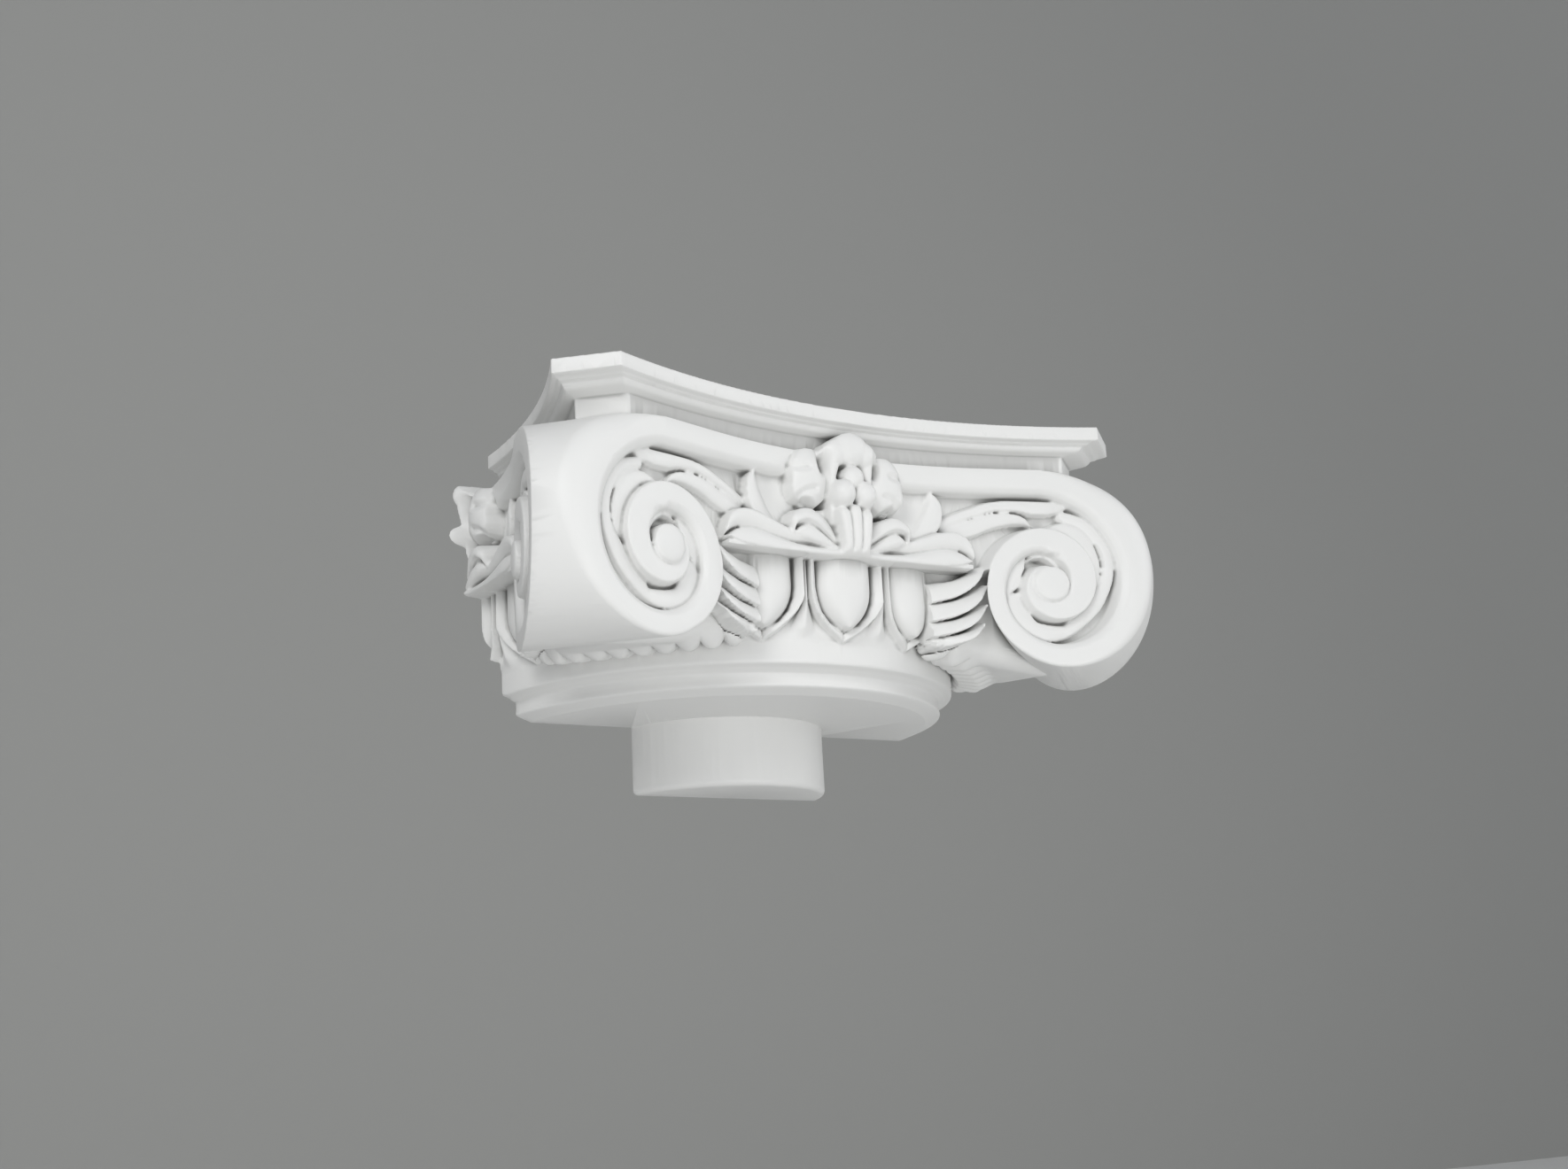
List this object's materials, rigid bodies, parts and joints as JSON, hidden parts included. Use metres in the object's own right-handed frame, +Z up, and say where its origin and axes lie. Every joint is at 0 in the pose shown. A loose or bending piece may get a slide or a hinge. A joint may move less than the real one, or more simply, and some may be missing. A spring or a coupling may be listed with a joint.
{
  "type": "angular ionic half capital",
  "caption": "Half capital with corner volutes, egg-and-dart and a centre flower, flat at the back to sit on a half column against a wall.",
  "frame": {"origin": "on the wall face, on the half column's centre line, at the height of the shoulder that sits on the half column", "axes": "+Z up the column, +Y into the wall, -Y out of the wall towards the viewer, +X to the viewer's right"},
  "size_m": [0.3068, 0.1444, 0.1525],
  "materials": {
    "cast_body": "primed white cast, smooth satin"
  },
  "bodies": {
    "root": {"half_capital": "cast_body"}
  },
  "joints": []
}
